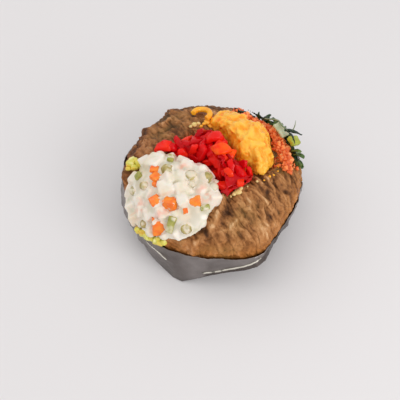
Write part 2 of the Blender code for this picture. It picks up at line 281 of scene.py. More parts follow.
def crease_height(point, creases):
    """Height of the nearest sharp crease at a point: folds that cross the wall as straight lines."""
    height = 0.0
    for first, run, rise, width in creases:
        rel = point - first
        share = max(0.0, min(1.0, rel.dot(run) / run.length_squared))
        away = (rel - share * run).length / width
        if away < 2.5:
            height += rise * math.exp(-away * away) * min(1, 6 * share + 0.3, 6 * (1 - share) + 0.3)
    return height


rng = random.Random(31)
creases = []
for _ in range(WALL_CREASES):
    turn = rng.uniform(-1.0, 3.5)
    ends = []
    for height, radius in ((rng.uniform(1, 9), rng.uniform(48, 60)), (rng.uniform(24, 33), 67)):
        ends.append(Vector((radius * math.cos(turn), radius * math.sin(turn), height)) * MM)
        turn += rng.uniform(-0.28, 0.28)
    creases.append((ends[0], ends[1] - ends[0], rng.choice((-0.9, 0.9, 1.2)) * MM, rng.uniform(1.2, 2.6) * MM))
start, end = [Vector(point) * MM for point in RAW_EDGE]
creases.append((start, end - start, 0.9 * MM, 1.0 * MM))

potato_low, potato_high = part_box("potato")
potato_middle = (potato_low + potato_high) / 2
foil_low, foil_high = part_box("foil")
bm = solid_copy("foil")
refine(bm, FOIL_STEP)
shades = []
for vert in bm.verts:
    outward = Vector((vert.co.x - potato_middle.x, vert.co.y - potato_middle.y, 0))
    reach = outward.length
    outward.normalize()
    lift = smoothstep(0.5 * MM, 8 * MM, vert.co.z)
    facing_front = smoothstep(0.35, 0.9, -outward.y) * smoothstep(1.2, 0.2, outward.x)
    calm = 1 - (1 - FOIL_FLAT_CALM) * facing_front
    push = FOIL_CRUMPLE * calm * (crumple(vert.co) + 0.35) * lift
    push += crease_height(vert.co, creases) * lift
    near_rim = smoothstep(foil_high.z - 9 * MM, foil_high.z - 1 * MM, vert.co.z)
    ragged = noise.noise(Vector((outward.x, outward.y, 0)) * 9) + 0.6 * noise.noise(
        Vector((outward.x, outward.y, 3)) * 27
    )
    turn = math.degrees(math.atan2(outward.y, outward.x))
    for middle_deg, width_deg, inward, down, low in WALL_SHIFTS:
        away = (turn - middle_deg + 180) % 360 - 180
        share = math.exp(-((away / width_deg) ** 2)) * smoothstep(low * MM, (low + 11) * MM, vert.co.z)
        push -= inward * MM * share
        vert.co.z -= down * MM * share
    vert.co += outward * push
    vert.co.z += FOIL_RAGGED * ragged * near_rim
    # Painted shade: the front facet is darkened, more on its left, as if it reflected the shadowed table, and a strip
    # under the free edge is darkened as the outer layer's shadow
    edge_height = 27.9 + (vert.co.x / MM - 34) * 0.37
    below_edge = smoothstep(0, -1.5, vert.co.z / MM - edge_height) * smoothstep(-8, -3, vert.co.x / MM)
    left_half = smoothstep(-12, -24, vert.co.x / MM)
    shades.append(
        max((0.26 + 0.22 * left_half) * facing_front, 0.9 * below_edge * smoothstep(0.3, 0.7, -outward.y))
    )
    if reach < 45 * MM:
        vert.co.z = max(0.0, vert.co.z)

foil_look, tree, shader, where = new_surface("crumpled_foil", 0.36, Metallic=1.0)
dull = ramp(tree, grain(tree, where, 9 * MM), (0.3, (0.24, 0.215, 0.205)), (0.7, (0.38, 0.35, 0.34)))
shade = add(tree, "ShaderNodeAttribute", attribute_name="shade").outputs["Fac"]
# Multiplies in the painted shade stored on the vertices
dull = blend(tree, shade, dull, (0.36, 0.32, 0.30), "MULTIPLY")
tree.links.new(dull, shader.inputs["Base Color"])
rough = ramp(tree, grain(tree, where, 5 * MM), (0.3, (0.28,) * 3), (0.75, (0.5,) * 3))
tree.links.new(rough, shader.inputs["Roughness"])
cells = add(tree, "ShaderNodeTexVoronoi", {"Vector": where, "Scale": 0.9 / (4 * MM)}, feature="DISTANCE_TO_EDGE")
fine = calculate(tree, "ADD", cells.outputs["Distance"], grain(tree, where, 1.2 * MM))
bump(tree, shader, fine, 0.25 * MM, 0.5)
foil = finish_piece("foil_wrap", bm, foil_look)
foil.data.set_sharp_from_angle(angle=math.radians(38))
mark(foil, "shade", shades)
foil_near = BVHTree.FromPolygons(
    [vertex.co for vertex in foil.data.vertices], [polygon.vertices for polygon in foil.data.polygons]
)
# The raised raw edges get a pale cream colour, much lighter than the foil: a painted highlight along them
edge_look, tree, shader, where = new_surface("foil_edge", 0.35, Metallic=0.6)
bright = ramp(tree, grain(tree, where, 4 * MM), (0.3, (0.62, 0.58, 0.50)), (0.7, (0.86, 0.82, 0.72)))
tree.links.new(bright, shader.inputs["Base Color"])
free_edge = ribbon("foil_free_edge", [Vector(p) * MM for p in FREE_EDGE], 1.0 * MM, foil_near, edge_look)
fold_edge = ribbon("foil_fold_edge", [Vector(p) * MM for p in RAW_EDGE], 0.8 * MM, foil_near, edge_look)
for piece in (foil, free_edge, fold_edge):
    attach(piece, "root")
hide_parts("foil")


# Skin: the potato baked whole until its skin dried, shrank and wrinkled all over, brown and leathery, then
# slit from above, so that pale flesh shows between the torn lips.
SKIN_STEP = 0.76 * MM
SLIT_TURN = math.radians(35)
SLIT_HALF = 24 * MM
WRINKLE = 1.1 * MM
FINE_WRINKLE = 0.4 * MM
# A fold of skin beside the salad, its line in plan in mm, and small pits, dented and coloured darker
SKIN_LIP = ((10, -25), (7.5, -34), (4, -42), (2, -48), (-3.5, -55.5), (-13, -61))
PITS = ((-4, -55.2, 2.6), (40.6, -41.3, 1.5), (46.5, -35.5, 1.5), (38, -24.2, 1.6), (52, -20, 1.2))
SKIN_FLAPS = ((141.5, 3.5, 3.0), (119, 4.5, 4.2), (181, 4.5, 1.8))
# Single sharp folds and deep creases, each from one point in plan to another, with its rise, all in mm
FOLDS = (
    ((11.8, -52.3), (17.5, -47.2), 1.3),
    ((1.1, -55.5), (9, -53.7), 1.2),
    ((20.5, -25), (26, -35), 1.1),
    ((17.5, -25), (23.5, -35.5), -1.3),
    ((28, -27), (31, -37), -1.0),
    ((43, -13), (47, -27), -1.3),
    ((10, -33), (10.5, -43), -1.0),
    ((33, -44), (20, -41), -0.9),
    ((-22, 38), (-33, 31), -1.0),
    ((-36, 37), (-30, 44), 1.2),
)


def plain_mesh(piece):
    """Swaps a piece with modifiers for its plain evaluated mesh."""
    bpy.context.view_layer.update()
    graph = bpy.context.evaluated_depsgraph_get()
    mesh = bpy.data.meshes.new_from_object(piece.evaluated_get(graph))
    piece.modifiers.clear()
    piece.data = mesh
    return piece


def even_piece(name, bm, step, rounds, look):
    """A piece remeshed to even small faces, so that it can carry relief."""
    piece = finish_piece(name, bm, look)
    remesh = piece.modifiers.new("remesh", "REMESH")
    remesh.mode = "VOXEL"
    remesh.voxel_size = step
    remesh.use_smooth_shade = True
    relax = piece.modifiers.new("relax", "SMOOTH")
    relax.factor = 0.5
    relax.iterations = rounds
    plain_mesh(piece)
    if not piece.data.materials:
        piece.data.materials.append(look)
    return piece


def along_slit(point):
    """A point's place along and across the slit, from the potato's middle."""
    x, y = point.x - potato_middle.x, point.y - potato_middle.y
    return (
        x * math.cos(SLIT_TURN) + y * math.sin(SLIT_TURN),
        y * math.cos(SLIT_TURN) - x * math.sin(SLIT_TURN),
    )


def in_slit(point):
    """1 on the bare flesh inside the slit, 0 on the skin, with a torn line between."""
    along, across = along_slit(point)
    torn = 2.2 * MM * noise.noise(point / (5 * MM)) + 1.0 * MM * noise.noise(point / (1.8 * MM))
    narrowed = SLIT_HALF * math.sqrt(max(0.0, 1 - (along / (60 * MM)) ** 4))
    return smoothstep(-0.5 * MM, 0.8 * MM, narrowed - abs(across) + torn - 1.5 * MM) if point.z > 35 * MM else 0.0


def wrinkle(point):
    """The skin's folds, from about -1 in a crease to 1 on a fold; they run down the sides, away from the slit."""
    along, across = along_slit(point)
    drawn = Vector((along, 0.38 * across, 0.5 * point.z))
    drawn += 2.1 * MM * noise.noise_vector(point / (7 * MM))
    folds = ridged(drawn, 6 * MM, 1.3)
    small = 1 - ridged(drawn, 3 * MM, 5.9)
    swell = noise.noise(point / (12 * MM) + Vector((7, 1, 3)))
    return 0.9 * folds + 0.85 * small - 0.9 + 0.35 * swell


skin_look, tree, shader, where = new_surface("potato_skin", 0.5, Specular_IOR_Level=0.18)
fold = add(tree, "ShaderNodeAttribute", attribute_name="fold").outputs["Fac"]
bare = add(tree, "ShaderNodeAttribute", attribute_name="bare").outputs["Fac"]


def crease_lines(tree, where, pitch, width):
    """Soft meandering creases: 0 in a crease and 1 between them."""
    even = grain(tree, where, pitch, 1.0, 0.3)
    away = calculate(tree, "ABSOLUTE", calculate(tree, "SUBTRACT", even, 0.5))
    return calculate(tree, "MULTIPLY", away, 1 / width, clamp=True)


# The skin's fine grain runs down the sides too, so its pattern is stretched across the slit's direction
stretched = {"Vector": where, "Rotation": (0, 0, SLIT_TURN), "Scale": (1, 3.2, 2.6)}
drawn = add(tree, "ShaderNodeMapping", stretched, vector_type="TEXTURE").outputs["Vector"]
broad_creases = crease_lines(tree, drawn, 4.2 * MM, 0.07)
thin_creases = crease_lines(tree, where, 2.0 * MM, 0.12)
mottled = calculate(tree, "MULTIPLY_ADD", grain(tree, drawn, 3.0 * MM, 7.0, 0.4), 1.3)
tree.nodes[-1].inputs[2].default_value = -0.84
# The tone is darker in the creases of the fine grain and lighter between them: painted shade in the creases, added to
# the painted light stored on the vertices
tone = calculate(tree, "ADD", fold, mottled)
tone = calculate(tree, "ADD", tone, calculate(tree, "MULTIPLY", broad_creases, 0.2))
tone = calculate(tree, "ADD", tone, calculate(tree, "MULTIPLY", thin_creases, 0.08), clamp=True)
brown = ramp(
    tree,
    tone,
    (0.0, (0.06, 0.022, 0.007)),
    (0.25, (0.18, 0.068, 0.02)),
    (0.5, (0.38, 0.158, 0.05)),
    (0.75, (0.54, 0.255, 0.097)),
    (1.0, (0.74, 0.44, 0.22)),
)
place = add(tree, "ShaderNodeSeparateXYZ", {"Vector": where})
low_share = add(
    tree, "ShaderNodeMapRange", {"Value": place.outputs["Z"], "From Min": 46 * MM, "From Max": 33 * MM}
)
toasted = blend(tree, calculate(tree, "MULTIPLY", low_share.outputs["Result"], 0.6), brown, (0.52, 0.19, 0.04))
# Painted shade: the skin is darkened and turned more purple towards the left
left_share = add(
    tree, "ShaderNodeMapRange", {"Value": place.outputs["X"], "From Min": 0, "From Max": -55 * MM}
)
toasted = blend(
    tree, calculate(tree, "MULTIPLY", left_share.outputs["Result"], 0.5), toasted, (0.76, 0.60, 0.64), "MULTIPLY"
)
greenish = ramp(tree, grain(tree, where, 12 * MM), (0.48, (0, 0, 0)), (0.66, (1, 1, 1)))
toasted = blend(tree, calculate(tree, "MULTIPLY", greenish, 0.3), toasted, (0.29, 0.185, 0.05))
speck = ramp(tree, grain(tree, where, 1.1 * MM, 2.0), (0.28, (0.4,) * 3), (0.4, (1,) * 3))
speckled = blend(tree, 0.6, toasted, speck, "MULTIPLY")
flesh_tint = ramp(
    tree, grain(tree, where, 3 * MM), (0.3, (0.50, 0.30, 0.10)), (0.55, (0.76, 0.55, 0.24)), (0.8, (0.86, 0.72, 0.42))
)
tree.links.new(blend(tree, bare, speckled, flesh_tint), shader.inputs["Base Color"])
leathery = calculate(tree, "ADD", grain(tree, where, 1.0 * MM, 4.0), grain(tree, drawn, 1.6 * MM, 3.0))
leathery = calculate(tree, "ADD", leathery, calculate(tree, "MULTIPLY", thin_creases, 0.5))
leathery = calculate(tree, "ADD", leathery, calculate(tree, "MULTIPLY", broad_creases, 1.3))
bump(tree, shader, leathery, 0.5 * MM, 0.85)


def line_distance(point, line):
    """How far a point lies in plan from a line, in metres, less than nothing on its left."""
    best = (9.0, 0.0)
    for start, end in zip(line, line[1:]):
        first, run = Vector(start) * MM, (Vector(end) - Vector(start)) * MM
        rel = Vector((point.x, point.y)) - first
        share = max(0.0, min(1.0, rel.dot(run) / run.length_squared))
        away = rel - share * run
        best = min(best, (away.length, away.length * math.copysign(1, away.x)))
    return best[1]


skin = even_piece("potato_skin", solid_copy("potato"), SKIN_STEP, 6, skin_look)
folds, bares = [], []
normals = [vertex.normal.copy() for vertex in skin.data.vertices]
for vertex, normal in zip(skin.data.vertices, normals):
    point = vertex.co
    bare_share = in_slit(point)
    above = smoothstep(22 * MM, 34 * MM, point.z)
    crease = wrinkle(point)
    along, across = along_slit(point)
    fine = ridged(Vector((along, 0.5 * across, 0.6 * point.z)), 1.7 * MM, 3.1) - 0.5
    relief = WRINKLE * (crease - 0.25) + FINE_WRINKLE * fine
    turn = math.degrees(math.atan2(point.y - potato_middle.y, point.x - potato_middle.x))
    outward = Vector((point.x - potato_middle.x, point.y - potato_middle.y, 0)).normalized()
    for middle_deg, width_deg, height in SKIN_FLAPS:
        away = (turn - middle_deg + 180) % 360 - 180
        rising = smoothstep(34 * MM, 41 * MM, point.z) * smoothstep(53 * MM, 47 * MM, point.z)
        vertex.co += outward * height * MM * rising * math.exp(-((away / width_deg) ** 2))
    lip = line_distance(point, SKIN_LIP)
    lip_rise = 2.6 * math.exp(-((lip / (1.9 * MM)) ** 2)) - 1.0 * math.exp(-(((lip - 5 * MM) / (2.5 * MM)) ** 2))
    pit = sum(
        math.exp(-((point.x / MM - x) ** 2 + (point.y / MM - y) ** 2) / size**2) for x, y, size in PITS
    )
    single = 0.0
    for start, end, rise in FOLDS:
        away = line_distance(point, (start, end)) / (1.1 * MM)
        if abs(away) < 3:
            single += rise * math.exp(-away * away)
    vertex.co += normal * relief * above * (1 - 0.75 * bare_share)
    vertex.co += normal * (lip_rise + single - 0.9 * pit) * MM * above
    far_rim = smoothstep(50.5 * MM, 43 * MM, point.z) * smoothstep(5 * MM, 45 * MM, point.y - 0.5 * point.x)
    under = smoothstep(31 * MM, 26 * MM, point.z)
    # The skin's tone is mostly painted light: lighter on crests, folds and the lip's ridge and darker in creases and
    # the trough beside the lip (painted highlight and shade), darker low down where the skin turns under (painted
    # shade), and darker in the pits, along the far rim and towards the right and back
    tone = 0.47 + 0.27 * crease + 0.1 * fine + 0.12 * lip_rise + 0.2 * single
    tone -= 0.07 * smoothstep(15 * MM, 50 * MM, point.x + 0.7 * point.y)
    folds.append(tone - 0.7 * pit - 0.34 * far_rim - 0.5 * under)
    bares.append(bare_share)
mark(skin, "fold", folds)
mark(skin, "bare", bares)
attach(skin, "root")
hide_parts("potato")
skin_tree = BVHTree.FromPolygons(
    [vertex.co for vertex in skin.data.vertices], [polygon.vertices for polygon in skin.data.polygons]
)


# Mash: the potato's own flesh, broken up with a fork and pressed down in the slit under the toppings.
MASH_STEP = 0.8 * MM
MASH_LUMP = 1.1 * MM

mash_look, tree, shader, where = new_surface("mashed_flesh", 0.55, Subsurface_Weight=0.15, Subsurface_Scale=0.002)
tint = ramp(
    tree, grain(tree, where, 4 * MM, 5.0), (0.3, (0.62, 0.40, 0.11)), (0.5, (0.82, 0.60, 0.22)), (0.75, (0.9, 0.75, 0.40))
)
tree.links.new(tint, shader.inputs["Base Color"])
bump(tree, shader, grain(tree, where, 1 * MM, 4.0), 0.3 * MM, 0.6)
mash = even_piece("mash", solid_copy("mash"), MASH_STEP, 4, mash_look)
for vertex in mash.data.vertices:
    lump = noise.noise(vertex.co / (4 * MM)) + 0.5 * noise.noise(vertex.co / (1.8 * MM))
    vertex.co.z += MASH_LUMP * lump
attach(mash, "root")
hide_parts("mash")


# Salad: peas, carrot, potato and pickle, diced and bound with mayonnaise. Most pieces are coated, so that
# they show as lumps under one pale skin of dressing, and some stand out of it bare.
SALAD_STEP = 0.62 * MM
PEA = 9.2 * MM
DICE = 9.4 * MM
SALAD_PIECES = 80
# Pieces that show bare: place in plan and size in mm, and for peas how much dressing clings to them
BARE_PEAS = (
    (-31.3, -12.2, 9.2, 0.05),
    (-55.2, -19.9, 7.6, 0.14),
    (-47.0, -21.5, 7.4, 0.2),
    (-14.4, -19.1, 9.2, 0.2),
    (-14.0, -25.6, 6.0, 0.2),
    (-2.5, -20.8, 8.6, 0.1),
    (1.2, -26.6, 7.6, 0.08),
    (-17.8, -55.0, 8.6, 0.1),
    (-47.4, -42.2, 6.6, 0.08),
)
BARE_CARROTS = (
    (-40.2, -10.5, 6.2),
    (-39.5, -17.4, 6.6),
    (-38.9, -22.7, 4.4),
    (-40.3, -33.9, 7.6),
    (-28.2, -38.4, 9.6),
    (-11.2, -39.3, 7.2),
    (-18.3, -44.9, 3.2),
    (-38.3, -48.6, 11.6),
)
# Gherkin cut in sticks and bits: place in plan, width, length and thickness in mm, dressing on it
GHERKINS = (
    (-28.2, -51.2, 4.8, 11.5, 5.0, 0.1),
    (-28.5, -2.8, 6.0, 4.5, 3.0, 0.04),
    (-51.6, -11.6, 5.0, 5.6, 3.4, 0.06),
    (-4.8, -42.6, 6.5, 4.0, 3.0, 0.12),
)
# Large dice and balls of potato that swell the dressing, in mm
BIG_LUMPS = ((-40.5, -2.5, 13, 12, 7), (-31.8, -26.5, 11, 11, 10), (-19.4, -28.5, 12, 9, 9), (-22, -19, 10, 9, 8))


def top_of(piece):
    """A lookup of the highest point of a piece over a place in plan."""
    mesh = piece.data
    lookup = BVHTree.FromPolygons(
        [vertex.co for vertex in mesh.vertices], [polygon.vertices for polygon in mesh.polygons]
    )

    def drop(x, y):
        return lookup.ray_cast(Vector((x, y, 0.2)), Vector((0, 0, -1)))[:2]

    return drop


def add_block(bm, size, rounding, place, turn):
    """A rounded cube, cut a little crooked, put in place."""
    made = bmesh.ops.create_cube(bm, size=1)["verts"]
    for vert in made:
        vert.co = Vector((vert.co.x * size[0], vert.co.y * size[1], vert.co.z * size[2]))
        vert.co *= 1 + 0.12 * noise.noise(vert.co / MM + place / MM)
    edges = list({edge for vert in made for edge in vert.link_edges})
    bevelled = bmesh.ops.bevel(
        bm, geom=edges, offset=rounding, segments=3, profile=0.55, affect="EDGES", clamp_overlap=True
    )
    made = list({vert for face in bevelled["faces"] for vert in face.verts} | {v for v in made if v.is_valid})
    bmesh.ops.rotate(bm, verts=made, cent=(0, 0, 0), matrix=turn)
    bmesh.ops.translate(bm, verts=made, vec=place)


def add_ball(bm, size, place, squeeze=0.9, detail=3):
    """A pea or a drop: a ball pressed a little flat."""
    made = bmesh.ops.create_icosphere(bm, subdivisions=detail, radius=size / 2)["verts"]
    for vert in made:
        vert.co *= 1 + 0.05 * noise.noise(vert.co / (3 * MM) + place / MM)
        vert.co.z *= squeeze
    bmesh.ops.translate(bm, verts=made, vec=place)


def any_turn(rng):
    return Euler([rng.uniform(0, math.tau) for _ in range(3)]).to_matrix()


salad_top = top_of(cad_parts["russian_salad"])
salad_low, salad_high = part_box("russian_salad")
rng = random.Random(11)
bm = solid_copy("russian_salad")
bmesh.ops.recalc_face_normals(bm, faces=bm.faces)
for vert in bm.verts:
    if vert.normal.z > 0.2:
        vert.co.z -= 1.5 * MM


def bare_piece(x, y, size, depth):
    """Where a piece that shows bare sits: its middle, its way out of the heap and its half size."""
    place, normal = salad_top(x * MM, y * MM)
    if place is None:
        inward = Vector((x, y, 0)) * 0.95
        place, normal = salad_top(inward.x * MM, inward.y * MM)
    return place - normal * depth, normal, size / 2


peas_at = [bare_piece(x, y, size * MM, 0.2 * size * MM) for x, y, size, coat in BARE_PEAS]
carrots_at = [bare_piece(x, y, size * MM, 0.5 * size * MM - 0.9 * MM) for x, y, size in BARE_CARROTS]
gherkins_at = [bare_piece(x, y, width * MM, 0.2 * thick * MM) for x, y, width, length, thick, coat in GHERKINS]
taken = [middle for middle, normal, half in peas_at + carrots_at + gherkins_at]
for middle, normal, half in peas_at:
    add_ball(bm, 2.06 * half, middle)
carrot_turns = []
for middle, normal, half in carrots_at:
    tilt = Euler([rng.uniform(-0.3, 0.3), rng.uniform(-0.3, 0.3), rng.uniform(0, 1.5)]).to_matrix()
    carrot_turns.append(tilt)
    add_block(bm, [2.05 * half] * 3, 0.25 * half, middle, tilt)
for x, y, *sizes in BIG_LUMPS:
    middle, normal, half = bare_piece(x, y, 0, 0.3 * sizes[2] * MM)
    taken.append(middle)
    lie = normal.to_track_quat("Z", "Y").to_matrix()
    add_block(bm, [size * MM for size in sizes], 1.8 * MM, middle, lie)
placed = 0
for _ in range(4000):
    if placed == SALAD_PIECES:
        break
    x, y = (rng.uniform(salad_low[i] + 1.5 * MM, salad_high[i] - 1.5 * MM) for i in range(2))
    place, normal = salad_top(x, y)
    if place is None or normal.z < 0.2:
        continue
    sunk = place - normal * rng.uniform(1.4, 3.8) * MM
    if any((sunk - other).length < 7.3 * MM for other in taken):
        continue
    taken.append(sunk)
    placed += 1
    if rng.random() < 0.4:
        add_ball(bm, PEA * rng.uniform(0.8, 0.95), sunk)
    else:
        size = [DICE * rng.uniform(0.7, 1.05) for _ in range(3)]
        add_block(bm, size, 1.2 * MM, sunk, any_turn(rng))

dressing_look, tree, shader, where = new_surface(
    "mayonnaise", 0.33, Subsurface_Weight=0.2, Subsurface_Scale=0.002, Specular_IOR_Level=0.4
)
shader.inputs["Subsurface Radius"].default_value = (1.0, 0.7, 0.5)
stain = add(tree, "ShaderNodeAttribute", attribute_name="stain").outputs["Fac"]
dip = add(tree, "ShaderNodeAttribute", attribute_name="dip").outputs["Fac"]
cream = ramp(
    tree,
    grain(tree, where, 6 * MM, 4.0),
    (0.25, (0.80, 0.68, 0.52)),
    (0.5, (0.87, 0.79, 0.68)),
    (0.75, (0.93, 0.88, 0.80)),
)
greenish = ramp(tree, grain(tree, where, 5 * MM, 3.0, 0.6), (0.52, (0, 0, 0)), (0.7, (1, 1, 1)))
cream = blend(tree, calculate(tree, "MULTIPLY", greenish, 0.4), cream, (0.62, 0.64, 0.42))
# Painted shade: grey-green where the surface dips between the lumps
cream = blend(tree, dip, cream, (0.42, 0.40, 0.26))
cream = blend(tree, stain, cream, (0.88, 0.42, 0.30))
tree.links.new(cream, shader.inputs["Base Color"])
bump(tree, shader, grain(tree, where, 2.2 * MM, 3.0), 0.25 * MM, 0.5)
salad = even_piece("salad_dressing", bm, SALAD_STEP, 5, dressing_look)
STAINS = (
    (-7, -29.8, 4.0), (-4.5, -35.1, 4.5), (-49.7, -33.2, 3.5), (-53, -34, 3), (-34.7, -44.9, 4.5), (-36, -37, 3),
    (-20, -11, 3.0), (4.5, -18, 2.5),
)
stains, dips = [], []
salad_height = top_of(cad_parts["russian_salad"])
for vertex in salad.data.vertices:
    point = vertex.co.copy()
    mottle = noise.noise(point / (3 * MM))
    share = 0.0
    for x, y, size in STAINS:
        away = math.hypot(point.x / MM - x, point.y / MM - y) / size
        share = max(share, 0.75 * math.exp(-(away**2)) * smoothstep(-0.35, 0.35, mottle))
    stains.append(share)
    place, normal = salad_height(point.x, point.y)
    deep = 0.0 if place is None else (place.z - point.z) / MM
    # Painted shade in the hollows between the lumps, broken up by noise
    dips.append(0.7 * smoothstep(0.7, 2.2, deep) * smoothstep(-0.5, 0.3, noise.noise(point / (5 * MM))))
    for middle, outward, half in peas_at + carrots_at + gherkins_at:
        away = point - middle
        if 0 < away.length < 1.5 * half:
            facing = away.dot(outward) / away.length + 0.3 * noise.noise(point / (2.4 * MM))
            vertex.co -= outward * 1.6 * MM * smoothstep(0.42, 0.6, facing)
mark(salad, "stain", stains)
mark(salad, "dip", dips)
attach(salad, "root")
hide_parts("russian_salad")


def coated_surface(name, light, dark):
    """A moist vegetable with smears of dressing on it, as much as the piece's own coat says."""
    look, tree, shader, where = new_surface(
        name, 0.3, Subsurface_Weight=0.12, Subsurface_Scale=0.002, Specular_IOR_Level=0.5
    )
    own = ramp(tree, grain(tree, where, 2.6 * MM, 3.0), (0.35, dark), (0.65, light))
    coat = add(tree, "ShaderNodeAttribute", attribute_name="coat").outputs["Fac"]
    smear = calculate(tree, "ADD", grain(tree, where, 4.5 * MM, 3.0, 0.5), coat)
    smear = calculate(tree, "MULTIPLY", calculate(tree, "SUBTRACT", smear, 0.6), 9.0, clamp=True)
    coated = blend(tree, calculate(tree, "MULTIPLY", smear, 0.8), own, (0.82, 0.74, 0.60))
    tree.links.new(coated, shader.inputs["Base Color"])
    bump(tree, shader, grain(tree, where, 1.2 * MM, 3.0), 0.15 * MM, 0.5)
    return look


pea_look = coated_surface("peas", (0.56, 0.45, 0.16), (0.25, 0.195, 0.035))
bm = bmesh.new()
coats = []
for (middle, normal, half), (x, y, size, coat) in zip(peas_at, BARE_PEAS):
    add_ball(bm, 2 * half, middle)
    coats += [coat] * (len(bm.verts) - len(coats))
peas = finish_piece("peas", bm, pea_look)
mark(peas, "coat", coats)

gherkin_look = coated_surface("gherkin", (0.44, 0.42, 0.10), (0.26, 0.26, 0.035))
bm = bmesh.new()
coats = []
for (middle, normal, half), (x, y, width, length, thick, coat) in zip(gherkins_at, GHERKINS):
    downhill = (Vector((0, -0.2, -1)) - normal * Vector((0, -0.2, -1)).dot(normal)).normalized()
    lie = Matrix((downhill.cross(normal), downhill, normal)).transposed()
    add_block(bm, [width * MM, length * MM, thick * MM], 1.0 * MM, middle, lie)
    coats += [coat] * (len(bm.verts) - len(coats))
gherkins = finish_piece("gherkin_bits", bm, gherkin_look)
mark(gherkins, "coat", coats)

carrot_look = coated_surface("carrot_dice", (1.0, 0.30, 0.02), (0.93, 0.16, 0.012))
bm = bmesh.new()
for (middle, normal, half), tilt in zip(carrots_at, carrot_turns):
    add_block(bm, [2 * half] * 3, 0.25 * half, middle, tilt)
carrots = finish_piece("carrot_dice", bm, carrot_look)
for piece in (peas, gherkins, carrots):
    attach(piece, "root")


# Red pepper: roasted, skinned and chopped into wet strips and squares, dropped in a loose pile across the
# middle of the slit. The pile's core is one lumpy mass, and the pieces lie on it at every angle.
PEPPER_CORE_SINK = 3.0 * MM
PEPPER_PIECES = 6


def group_input(tree, name, kind, value):
    """Adds a named input to a Geometry Nodes tree."""
    made = tree.interface.new_socket(name=name, in_out="INPUT", socket_type=kind)
    if value is not None:
        made.default_value = value
    return made


def scatter_tree():
    """Geometry Nodes: drops copies of several pieces on the upward faces of a core."""
    tree = bpy.data.node_groups.new("scatter", "GeometryNodeTree")
    tree.interface.new_socket(name="Core", in_out="INPUT", socket_type="NodeSocketGeometry")
    tree.interface.new_socket(name="Scattered", in_out="OUTPUT", socket_type="NodeSocketGeometry")
    group_input(tree, "Pieces", "NodeSocketCollection", None)
    group_input(tree, "Spacing", "NodeSocketFloat", 4 * MM)
    group_input(tree, "Density", "NodeSocketFloat", 30000.0)
    group_input(tree, "Steepest", "NodeSocketFloat", 0.1)
    group_input(tree, "Smallest", "NodeSocketFloat", 0.8)
    group_input(tree, "Largest", "NodeSocketFloat", 1.2)
    group_input(tree, "Tilt", "NodeSocketFloat", 0.4)
    group_input(tree, "Lift", "NodeSocketFloat", 0.0)
    group_input(tree, "Seed", "NodeSocketInt", 1)
    group_input(tree, "Look", "NodeSocketMaterial", None)
    given = add(tree, "NodeGroupInput").outputs
    normal = add(tree, "GeometryNodeInputNormal").outputs["Normal"]
    upward = add(tree, "ShaderNodeSeparateXYZ", {"Vector": normal}).outputs["Z"]
    allowed = add(tree, "FunctionNodeCompare", {0: upward, 1: given["Steepest"]}, operation="GREATER_THAN")
    points = add(
        tree,
        "GeometryNodeDistributePointsOnFaces",
        {
            "Mesh": given["Core"],
            "Selection": allowed.outputs["Result"],
            "Distance Min": given["Spacing"],
            "Density Max": given["Density"],
            "Seed": given["Seed"],
        },
        distribute_method="POISSON",
    )
    raised = add(
        tree, "ShaderNodeVectorMath", {0: points.outputs["Normal"], "Scale": given["Lift"]}, operation="SCALE"
    )
    moved = add(
        tree,
        "GeometryNodeSetPosition",
        {"Geometry": points.outputs["Points"], "Offset": raised.outputs["Vector"]},
    )
    kinds = add(
        tree,
        "GeometryNodeCollectionInfo",
        {"Collection": given["Pieces"], "Separate Children": True, "Reset Children": True},
    )
    spin = add(
        tree,
        "FunctionNodeRandomValue",
        {0: (-1, -1, -math.tau), 1: (1, 1, math.tau), "Seed": given["Seed"]},
        data_type="FLOAT_VECTOR",
    )
    tilt = add(
        tree, "ShaderNodeCombineXYZ", {"X": given["Tilt"], "Y": given["Tilt"], "Z": 1.0}
    ).outputs["Vector"]
    turned = add(tree, "ShaderNodeVectorMath", {0: spin.outputs["Value"], 1: tilt}, operation="MULTIPLY")
    twist = add(tree, "FunctionNodeEulerToRotation", {"Euler": turned.outputs["Vector"]})
    facing = add(
        tree,
        "FunctionNodeRotateRotation",
        {"Rotation": points.outputs["Rotation"], "Rotate By": twist.outputs["Rotation"]},
        rotation_space="LOCAL",
    )
    size = add(
        tree,
        "FunctionNodeRandomValue",
        {2: given["Smallest"], 3: given["Largest"], "Seed": given["Seed"]},
        data_type="FLOAT",
    )
    placed = add(
        tree,
        "GeometryNodeInstanceOnPoints",
        {
            "Points": moved.outputs["Geometry"],
            "Instance": kinds.outputs["Instances"],
            "Pick Instance": True,
            "Rotation": facing.outputs["Rotation"],
            "Scale": size.outputs[1],
        },
    )
    tint = add(tree, "FunctionNodeRandomValue", {2: 0.0, 3: 1.0, "Seed": 77}, data_type="FLOAT")
    stored = add(
        tree,
        "GeometryNodeStoreNamedAttribute",
        {"Geometry": placed.outputs["Instances"], "Name": "tint", "Value": tint.outputs[1]},
        data_type="FLOAT",
        domain="INSTANCE",
    )
    real = add(tree, "GeometryNodeRealizeInstances", {"Geometry": stored.outputs["Geometry"]})
    coloured = add(
        tree, "GeometryNodeSetMaterial", {"Geometry": real.outputs["Geometry"], "Material": given["Look"]}
    )
    add(tree, "NodeGroupOutput", {"Scattered": coloured.outputs["Geometry"]})
    return tree


SCATTER = scatter_tree()


def scatter(name, core, kinds, look, **values):
    """Scatters copies of the pieces in kinds over a core and returns them as one plain piece."""
    stock = bpy.data.collections.new(name + "_stock")
    for kind in kinds:
        bpy.context.scene.collection.objects.unlink(kind)
        stock.objects.link(kind)
    piece = bpy.data.objects.new(name, core.data.copy())
    bpy.context.scene.collection.objects.link(piece)
    step = piece.modifiers.new("scatter", "NODES")
    step.node_group = SCATTER
    values.update(Pieces=stock, Look=look)
    for item in SCATTER.interface.items_tree:
        if item.name in values:
            step[item.identifier] = values[item.name]
    plain_mesh(piece)
    for kind in kinds:
        bpy.data.objects.remove(kind)
    bpy.data.collections.remove(stock)
    piece.data.shade_smooth()
    return piece


